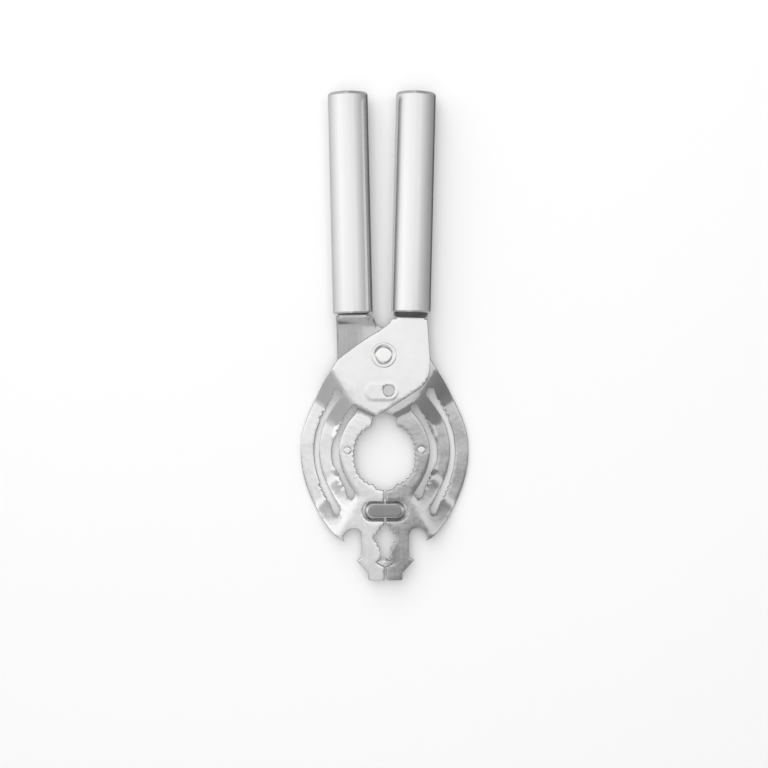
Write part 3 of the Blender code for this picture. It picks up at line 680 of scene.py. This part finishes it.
def corner(radius, z, rounding, first, last, steps=6):
    """Rounded corner of a profile, angles in degrees from straight up, clockwise."""
    turn = [math.radians(first + (last - first) * i / steps) for i in range(steps + 1)]
    return [(radius + rounding * math.sin(a), z + rounding * math.cos(a)) for a in turn]


def aim(obj, root_x, lean, along):
    """Turn local Z into the handle's direction and put the origin on its axis."""
    obj.rotation_euler = (math.radians(-90.0), 0.0, -lean)
    obj.location = ((root_x + along * math.sin(lean)) * MM, (ROOT_Y + along * math.cos(lean)) * MM,
                    TUBE_RADIUS * MM)


def along_handle(y, lean):
    """Distance from the handle's root, along its axis, to where the axis reaches y."""
    return (y - ROOT_Y) / math.cos(lean)


def handle_end(lean):
    """Distance from the handle's root to its end, whose far corner reaches HALF_LENGTH."""
    return along_handle(HALF_LENGTH - (TUBE_RADIUS - CAD_END_ROUNDING) * math.sin(abs(lean)), lean)


def make_tube(name, root_x, lean, mouth_y):
    """The tube, with a rolled lip at its mouth.

    Rings close to both ends keep the long wall's shading even.
    """
    start = along_handle(mouth_y, lean)
    length = handle_end(lean) - END_ROUNDING - SEAM - start
    inner = TUBE_RADIUS - TUBE_WALL
    profile = [(TUBE_RADIUS - 0.04, length), (TUBE_RADIUS, length - 0.04), (TUBE_RADIUS, length - 0.2),
               (TUBE_RADIUS, 40.0), (TUBE_RADIUS, LIP_ROUNDING + 0.2)]
    profile += corner(TUBE_RADIUS - LIP_ROUNDING, LIP_ROUNDING, LIP_ROUNDING, 90.0, 180.0)
    profile += corner(inner + 0.2, 0.2, 0.2, 180.0, 270.0, 3)
    profile += [(inner, 3.0), (inner, length - 0.2), (inner + 0.04, length)]
    tube = turned(name, profile, 128, closed=True)
    aim(tube, root_x, lean, start)
    return tube


def make_cap(name, root_x, lean):
    """The closed end: a very slightly domed disc with a rounded edge, and its plug inside the tube."""
    plug = TUBE_RADIUS - TUBE_WALL - 0.1
    flat = TUBE_RADIUS - END_ROUNDING
    profile = [(0.0, 0.0), (flat * 0.5, -0.02), (flat * 0.85, -0.05)]
    profile += corner(flat, -END_ROUNDING - 0.05, END_ROUNDING, 8.0, 90.0, 8)
    profile += [(plug, -END_ROUNDING - 0.05), (plug, -6.0), (plug - 0.5, -7.0), (0.0, -7.0)]
    cap = turned(name, profile, 128)
    aim(cap, root_x, lean, handle_end(lean))
    return cap


def make_core(name, root_x, lean, core_y, shoulder_y):
    """Moulded plug with a rounded nose; the tang goes into its slot."""
    start = along_handle(core_y, lean)
    radius = TUBE_RADIUS - TUBE_WALL - 0.15
    profile = [(0.0, CORE_LENGTH), (radius - 0.5, CORE_LENGTH), (radius, CORE_LENGTH - 0.5),
               (radius, CORE_NOSE + 0.4)]
    profile += corner(radius - CORE_NOSE, CORE_NOSE, CORE_NOSE, 90.0, 172.0, 8)
    profile += [(radius * 0.4, 0.03), (0.0, 0.0)]
    core = turned(name, profile, 96)
    aim(core, root_x, lean, start)
    depth = shoulder_y - core_y + TANG_LENGTH + SLOT_CLEARANCE
    slot = bmesh.new()
    bmesh.ops.create_cube(slot, size=1.0)
    bmesh.ops.scale(slot, vec=[side * MM for side in (TANG_WIDTH + 2 * SLOT_CLEARANCE,
                                                      PLATE + 2 * SLOT_CLEARANCE, depth + 4.0)],
                    verts=slot.verts)
    bmesh.ops.translate(slot, vec=(0.0, 0.0, (depth / 2 - 2.0) * MM), verts=slot.verts)
    mesh = bpy.data.meshes.new(name + "_slot")
    slot.to_mesh(mesh)
    slot.free()
    cutter = add_object(name + "_slot", mesh)
    cutter.matrix_basis = Matrix.LocRotScale(core.location, core.rotation_euler, None)
    cut = core.modifiers.new("slot", "BOOLEAN")
    cut.object = cutter
    bpy.context.view_layer.update()
    solid = bpy.data.meshes.new_from_object(core.evaluated_get(bpy.context.evaluated_depsgraph_get()))
    core.modifiers.clear()
    core.data = solid
    bpy.data.objects.remove(cutter)
    solid.set_sharp_from_angle(angle=math.radians(35.0))
    return core


def make_rivet(name, place, near, far, shank, head, dome, tail, drop, crown=2.6, steps=64):
    """A rivet between the heights near and far, in millimetres.

    Its head has the radius head and rises by dome above near, flatter with a higher crown; its tail has the
    radius tail and reaches drop below far.
    """
    profile = [(0.0, near + dome)]
    for share in (0.2, 0.4, 0.55, 0.68, 0.78, 0.86, 0.92, 0.96, 0.985):
        profile.append((share * head, near + EDGE_LIFT + (dome - EDGE_LIFT) * math.sqrt(1 - share ** crown)))
    profile += [(head, near + EDGE_LIFT), (head, near + 0.08), (head - 0.08, near), (shank, near)]
    profile += [(shank, far), (tail - 0.1, far), (tail, far - 0.1)]
    profile += corner(tail - drop * 0.6, far - drop * 0.4, drop * 0.6, 90.0, 180.0, 4)
    profile += [(0.0, far - drop)]
    rivet = turned(name, profile, steps)
    rivet.location = (place.x * MM, place.y * MM, 0.0)
    return rivet


def make_washer(name, place, bottom):
    """A flat washer round the pivot rivet, with a rounded upper rim."""
    top = bottom + WASHER_THICKNESS
    profile = [(PIVOT_SHANK + 0.15, bottom), (PIVOT_SHANK + 0.15, top - 0.05), (PIVOT_SHANK + 0.2, top)]
    profile += corner(WASHER_RADIUS - 0.2, top - 0.2, 0.2, 0.0, 90.0, 5)
    profile += [(WASHER_RADIUS, bottom + 0.05), (WASHER_RADIUS - 0.05, bottom)]
    washer = turned(name, profile, 96, closed=True)
    washer.location = (place.x * MM, place.y * MM, 0.0)
    return washer


# ---------------------------------------------------------------- small pressed pieces

def make_guide():
    """Slot-shaped plate under the split, with a raised middle that shows in the window."""
    centre = Vector((0.0, WINDOW_Y))
    extra = []
    for row in range(9):
        reach = -0.5 + row * 0.3
        extra += finer(stadium(centre, PLATEAU_HALF_LENGTH + reach, PLATEAU_HALF_HEIGHT + reach, 20), 0.6)
    low = GUIDE_TOP - GUIDE_THICKNESS / 2
    high = low + PLATEAU_RISE

    def height(point):
        reach = max(0.0, abs(point.x) - (PLATEAU_HALF_LENGTH - PLATEAU_HALF_HEIGHT))
        away = Vector((reach, point.y - WINDOW_Y)).length
        fall = soft_step(away, PLATEAU_HALF_HEIGHT, PLATEAU_HALF_HEIGHT + PLATEAU_SLOPE, 0.3)
        return high + (low - high) * fall

    outline = stadium(centre, GUIDE_HALF_LENGTH, GUIDE_HALF_HEIGHT, 24)
    flat = [Vector((x * 1.2, WINDOW_Y + y * 1.2)) for x in range(-9, 10) for y in range(-4, 5)]
    return sheet("guide_plate", [outline], extra + flat, height, GUIDE_THICKNESS, False, 0.35, 0.15)


def make_locator():
    """Lozenge that centres a cap at the tip: four facets on a low upright edge."""
    shape = bmesh.new()
    outline = [(LOCATOR_HALF_WIDTH, 0.0), (0.0, LOCATOR_HALF_HEIGHT), (-LOCATOR_HALF_WIDTH, 0.0),
               (0.0, -LOCATOR_HALF_HEIGHT)]
    base = RING_LEVEL - PLATE / 2
    rim = RING_LEVEL + PLATE / 2 + 0.9
    foot = [shape.verts.new((x, y, base)) for x, y in outline]
    brow = [shape.verts.new((x, y, rim)) for x, y in outline]
    peak = shape.verts.new((0.0, 0.25, rim + LOCATOR_PEAK))
    shape.faces.new(foot[::-1])
    for i in range(4):
        j = (i + 1) % 4
        shape.faces.new((foot[i], foot[j], brow[j], brow[i]))
        shape.faces.new((brow[i], brow[j], peak))
    bmesh.ops.scale(shape, vec=(MM, MM, MM), verts=shape.verts)
    mesh = bpy.data.meshes.new("locator")
    shape.to_mesh(mesh)
    shape.free()
    mesh.shade_smooth()
    mesh.set_sharp_from_angle(angle=math.radians(12.0))
    locator = add_object("locator", mesh)
    locator.location = (0.0, LOCATOR_Y * MM, 0.0)
    bevel = locator.modifiers.new("soft_edges", "BEVEL")
    bevel.width = 0.12 * MM
    bevel.segments = 2
    bevel.limit_method = "ANGLE"
    bevel.angle_limit = math.radians(10.0)
    return locator


# ---------------------------------------------------------------- materials

def add_node(tree, kind, links=(), **values):
    """A node with its input values by name, and links as (input name, output socket)."""
    node = tree.nodes.new(kind)
    for name, value in values.items():
        node.inputs[name.replace("_", " ")].default_value = value
    for name, source in links:
        tree.links.new(source, node.inputs[name])
    return node


def noise(tree, place, scale, detail):
    """A noise over place, 0 to 1."""
    return add_node(tree, "ShaderNodeTexNoise", [("Vector", place)], Scale=scale, Detail=detail,
                    Roughness=0.55).outputs["Fac"]


def spread(tree, value, low, high, out_low, out_high):
    """Map value from one range to another, without going past its ends."""
    mapped = add_node(tree, "ShaderNodeMapRange", [("Value", value)])
    for name, number in (("From Min", low), ("From Max", high), ("To Min", out_low), ("To Max", out_high)):
        mapped.inputs[name].default_value = number
    return mapped.outputs["Result"]


def combine(tree, operation, first, second):
    """A Math node of two sockets or numbers."""
    node = tree.nodes.new("ShaderNodeMath")
    node.operation = operation
    for slot, value in zip(node.inputs, (first, second)):
        if isinstance(value, (int, float)):
            slot.default_value = value
        else:
            tree.links.new(value, slot)
    return node.outputs[0]


def bump(tree, height, distance, normal=None):
    """A normal bent by a height of 0 to 1, which stands for distance in metres."""
    links = [("Height", height)]
    if normal is not None:
        links.append(("Normal", normal))
    return add_node(tree, "ShaderNodeBump", links, Strength=1.0, Distance=distance).outputs["Normal"]


def axis(tree, vector, name):
    """One component of a vector socket."""
    return add_node(tree, "ShaderNodeSeparateXYZ", [("Vector", vector)]).outputs[name]


def darkened(tree, colour, share):
    """A colour times a factor."""
    node = tree.nodes.new("ShaderNodeVectorMath")
    node.operation = "SCALE"
    tree.links.new(colour, node.inputs[0])
    tree.links.new(share, node.inputs["Scale"])
    return node.outputs[0]


def painted_shade_above(tree, colour, place, low, high, share):
    """Painted shade: darken a colour, down to a share of itself, between the heights low and high in metres.
    """
    return darkened(tree, colour, spread(tree, axis(tree, place, "Z"), low, high, 1.0, share))


def painted_edge_shade(tree, colour, normal):
    """Painted shade: darken the cut edges of a sheet, whose normals lie level."""
    upright = combine(tree, "ABSOLUTE", axis(tree, normal, "Z"), 0.0)
    low, high, share = EDGE_PAINTED_SHADE
    return darkened(tree, colour, spread(tree, upright, low, high, share, 1.0))


def mixed_colour(tree, factor, first, second):
    """A colour between two others, each (r, g, b) or a socket."""
    node = tree.nodes.new("ShaderNodeMix")
    node.data_type = "RGBA"
    tree.links.new(factor, node.inputs["Factor"])
    sockets = [socket for socket in node.inputs if socket.type == "RGBA"]
    for socket, colour in zip(sockets, (first, second)):
        if isinstance(colour, tuple):
            socket.default_value = (*colour, 1.0)
        else:
            tree.links.new(colour, socket)
    return [socket for socket in node.outputs if socket.type == "RGBA"][0]


def new_material(name):
    """A material with its node tree and its shader."""
    material = bpy.data.materials.new(name)
    material.use_nodes = True
    return material, material.node_tree, material.node_tree.nodes["Principled BSDF"]


def steel(name, dark, light, roughness, stretch, grain, wave, painted_top_shade=None, pressed=False):
    """Stainless steel between two greys.

    Clouds of polish vary its grey and gloss and let the surface wave slightly (wave), and grain lines (grain)
    are drawn out by stretch, a scale per axis; both are heights in metres.  painted_top_shade paints shade on
    a raised top, see painted_shade_above.  A pressed sheet has painted shade on its cut edges, and uneven
    jaws.
    """
    material, tree, shader = new_material(name)
    shader.inputs["Metallic"].default_value = 1.0
    coordinates = add_node(tree, "ShaderNodeTexCoord").outputs
    place = coordinates["Object"]
    drawn = add_node(tree, "ShaderNodeMapping", [("Vector", place)], Scale=stretch).outputs["Vector"]
    lines = noise(tree, drawn, 1.0, 4.0)
    clouds = noise(tree, place, CLOUD_SCALE, 3.0)
    specks = noise(tree, place, SPECK_SCALE, 2.0)
    tone = combine(tree, "ADD", combine(tree, "MULTIPLY", clouds, 0.7), combine(tree, "MULTIPLY", lines, 0.3))
    colour = mixed_colour(tree, spread(tree, tone, 0.35, 0.65, 0.0, 1.0), dark, light)
    # Painted shade on a raised top.
    if painted_top_shade is not None:
        colour = painted_shade_above(tree, colour, place, *painted_top_shade)
    # Painted shade on the cut edges of a pressed sheet.
    if pressed:
        colour = painted_edge_shade(tree, colour, coordinates["Normal"])
    tree.links.new(colour, shader.inputs["Base Color"])
    gloss = combine(tree, "ADD", spread(tree, clouds, 0.3, 0.7, roughness * 0.88, roughness * 1.12),
                    spread(tree, lines, 0.3, 0.7, -0.02, 0.03))
    tree.links.new(gloss, shader.inputs["Roughness"])
    normal = bump(tree, clouds, wave)
    if pressed:
        uneven = spread(tree, axis(tree, place, "Y"), *PRESSED_ALONG_Y, PRESSED_WAVE, wave)
        tree.links.new(uneven, normal.node.inputs["Distance"])
    normal = bump(tree, lines, grain, normal)
    normal = bump(tree, specks, grain * 0.3, normal)
    tree.links.new(normal, shader.inputs["Normal"])
    return material


def moulded_plastic(name):
    """Black moulded plastic: fine spark-eroded grain and slightly uneven gloss."""
    material, tree, shader = new_material(name)
    place = add_node(tree, "ShaderNodeTexCoord").outputs["Object"]
    grain = noise(tree, place, MOULD_GRAIN_SCALE, 3.0)
    clouds = noise(tree, place, MOULD_CLOUD_SCALE, 3.0)
    tones = tree.nodes.new("ShaderNodeValToRGB")
    tones.color_ramp.elements[0].color = (0.045, 0.045, 0.047, 1.0)
    tones.color_ramp.elements[1].color = (0.09, 0.09, 0.093, 1.0)
    tree.links.new(clouds, tones.inputs["Fac"])
    tree.links.new(tones.outputs["Color"], shader.inputs["Base Color"])
    tree.links.new(spread(tree, clouds, 0.3, 0.7, 0.12, 0.22), shader.inputs["Roughness"])
    tree.links.new(bump(tree, grain, 0.00002), shader.inputs["Normal"])
    return material


def floor_material():
    """Matte white."""
    material, _, shader = new_material("pale_floor")
    shader.inputs["Base Color"].default_value = (0.9, 0.9, 0.9, 1.0)
    shader.inputs["Roughness"].default_value = 0.9
    shader.inputs["Specular IOR Level"].default_value = 0.1
    return material


# ---------------------------------------------------------------- stage

def tone_ramp(tree, fac, stops):
    """A ramp of greys over a turn, from -180 to 180 degrees."""
    tones = tree.nodes.new("ShaderNodeValToRGB")
    elements = tones.color_ramp.elements
    while len(elements) < len(stops):
        elements.new(0.5)
    for element, (angle, tone) in zip(elements, stops):
        element.position = (angle + 180.0) / 360.0
        element.color = (tone, tone, tone, 1.0)
    tree.links.new(fac, tones.inputs["Fac"])
    return tones.outputs["Color"]


def make_world():
    """A studio seen in the steel: a band of light from left to right, and dimmer walls before and behind."""
    world = bpy.data.worlds.new("studio")
    world.use_nodes = True
    bpy.context.scene.world = world
    tree = world.node_tree
    direction = add_node(tree, "ShaderNodeTexCoord").outputs["Generated"]
    split = add_node(tree, "ShaderNodeSeparateXYZ", [("Vector", direction)]).outputs
    turn = spread(tree, combine(tree, "ARCTAN2", split["X"], split["Z"]), -math.pi, math.pi, 0.0, 1.0)
    near = spread(tree, combine(tree, "MULTIPLY", split["Y"], -1.0), *WALL_NEAR, 0.0, 1.0)
    far = spread(tree, split["Y"], *WALL_FAR, 0.0, 1.0)
    sky = mixed_colour(tree, combine(tree, "MAXIMUM", near, far), tone_ramp(tree, turn, SKY_BAND),
                       tone_ramp(tree, turn, SKY_WALLS))
    background = tree.nodes["Background"]
    tree.links.new(sky, background.inputs["Color"])
    background.inputs["Strength"].default_value = SKY_STRENGTH


def add_light(name, place, size, power):
    """A square area light aimed at the origin, which doesn't show in the steel."""
    lamp = bpy.data.lights.new(name, "AREA")
    lamp.size = size
    lamp.energy = power
    light = add_object(name, lamp)
    light.location = place
    aim_at = Vector((0.0, 0.0, 0.0)) - Vector(place)
    light.rotation_euler = aim_at.to_track_quat("-Z", "Y").to_euler()
    light.visible_glossy = False


def make_stage():
    """Pale floor, soft lights and the overhead camera."""
    scene = bpy.context.scene
    scene.view_settings.view_transform = "Standard"
    bpy.ops.mesh.primitive_plane_add(size=FLOOR_SIZE, location=(0.0, 0.0, FLOOR_LEVEL))
    floor = bpy.context.object
    floor.name = "floor"
    floor.data.materials.append(floor_material())
    floor.visible_glossy = False
    make_world()
    add_light("overhead", *OVERHEAD)
    add_light("key", *KEY)

    camera = bpy.data.cameras.new("camera")
    camera.sensor_width = 36.0
    camera.lens = camera.sensor_width * VIEW_DISTANCE / VIEW_WIDTH
    camera.clip_end = 10.0
    view = add_object("camera", camera)
    view.location = (VIEW_CENTRE.x * MM, VIEW_CENTRE.y * MM, (FRONT_LEVEL + VIEW_DISTANCE) * MM)
    view.rotation_euler = (0.0, 0.0, VIEW_ROLL)
    scene.camera = view


# ---------------------------------------------------------------- build

def place_piece(piece, material, body, slot, *nodes):
    """Give a piece its material and body, and hide the CAD nodes that it stands for; slot, its record slot,
    is not used.
    """
    piece.data.materials.clear()
    piece.data.materials.append(material)
    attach(piece, body)
    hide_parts(*nodes)


def build():
    """All pieces, each on its body, in place of its CAD node."""
    sheet_steel = steel("polished_sheet", (0.70, 0.70, 0.70), (0.80, 0.80, 0.80), roughness=0.15,
                        stretch=(900.0, 70.0, 900.0), grain=0.000002, wave=0.00006, pressed=True)
    tube_steel = steel("satin_tube", (0.75, 0.75, 0.75), (0.81, 0.81, 0.81), roughness=0.22,
                       stretch=(2400.0, 2400.0, 26.0), grain=0.000004, wave=0.00001)
    # The rear plate's steel is the front plate's with a darker grey, which is painted shade.
    rear_steel_painted_shade = steel("rear_sheet_painted_shade", (0.50, 0.50, 0.50), (0.60, 0.60, 0.60), roughness=0.17,
                       stretch=(900.0, 70.0, 900.0), grain=0.000002, wave=0.00006, pressed=True)
    # The guide plate's raised top is darkened with painted shade.
    guide_steel = steel("brushed_guide", (0.74, 0.74, 0.74), (0.86, 0.86, 0.86), roughness=0.28,
                        stretch=(60.0, 1500.0, 1500.0), grain=0.000005, wave=0.00002, painted_top_shade=PLATEAU_PAINTED_SHADE)
    rivet_steel = steel("rivet_steel", (0.76, 0.76, 0.75), (0.86, 0.86, 0.85), roughness=0.16,
                        stretch=(500.0, 500.0, 500.0), grain=0.000002, wave=0.00001)
    plastic = moulded_plastic("black_moulding")

    place_piece(make_front_plate(), sheet_steel, "front_half", "plate_steel", "left_jaw_plate")
    place_piece(make_rear_plate(), rear_steel_painted_shade, "rear_half", "plate_steel", "right_jaw_plate")

    sides = (("right", "front_half", RIGHT_ROOT_X, RIGHT_LEAN, RIGHT_MOUTH_Y, RIGHT_CORE_Y, RIGHT_SHOULDER_Y),
             ("left", "rear_half", LEFT_ROOT_X, LEFT_LEAN, LEFT_MOUTH_Y, LEFT_CORE_Y, LEFT_SHOULDER_Y))
    for side, body, root_x, lean, mouth_y, core_y, shoulder_y in sides:
        place_piece(make_tube(side + "_tube", root_x, lean, mouth_y), tube_steel, body, "handle_steel",
                    side + "_handle_tube")
        place_piece(make_cap(side + "_cap", root_x, lean), tube_steel, body, "handle_steel",
                    side + "_end_cap")
        place_piece(make_core(side + "_core", root_x, lean, core_y, shoulder_y), plastic, body,
                    "dark_moulding", side + "_handle_core")
        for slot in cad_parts[side + "_tang_pin"].material_slots:
            slot.material = rivet_steel

    front_top = FRONT_LEVEL + PLATE / 2
    rear_bottom = REAR_LEVEL - PLATE / 2
    ring_top = RING_LEVEL + PLATE / 2 - JAW_LEAN * (STUD_PLACE.x - JAW_LEAN_AXIS)
    place_piece(make_rivet("rivet", PIVOT, near=front_top + WASHER_THICKNESS + 0.1,
                           far=rear_bottom - WASHER_THICKNESS - 0.4, shank=PIVOT_SHANK, head=3.6,
                           dome=0.55, tail=3.6, drop=1.0, crown=14.0, steps=96),
                rivet_steel, "front_half", "rivet_steel", "pivot_rivet")
    place_piece(make_washer("front_washer", PIVOT, front_top + 0.05), sheet_steel, "front_half",
                "plate_steel", "pivot_front_washer")
    place_piece(make_washer("rear_washer", PIVOT, rear_bottom - 0.1 - WASHER_THICKNESS), sheet_steel,
                "rear_half", "plate_steel", "pivot_rear_washer")
    # The stop stud takes the rear plate's darker steel: painted shade on its head, seen deep in the port.
    place_piece(make_rivet("stop", STOP_CLOSED, near=REAR_LEVEL + PLATE / 2 + 0.05,
                           far=rear_bottom - 0.05, shank=1.4, head=2.2, dome=0.25, tail=2.2, drop=0.7),
                rear_steel_painted_shade, "rear_half", "rivet_steel", "stop_stud")
    for name, place, body in (("left_stud", mirrored(STUD_PLACE), "front_half"),
                              ("right_stud", STUD_PLACE, "rear_half")):
        place_piece(make_rivet(name, place, near=ring_top + 0.05, far=ring_top - PLATE - 0.05, shank=0.9,
                               head=1.7, dome=0.7, tail=1.75, drop=0.6, crown=10.0),
                    rivet_steel, body, "rivet_steel", name.replace("_stud", "_jaw_stud"))
    place_piece(make_guide(), guide_steel, "front_half", "plate_steel", "tip_guide_plate")
    place_piece(make_locator(), rivet_steel, "front_half", "plate_steel", "tip_locator")


build()
make_stage()
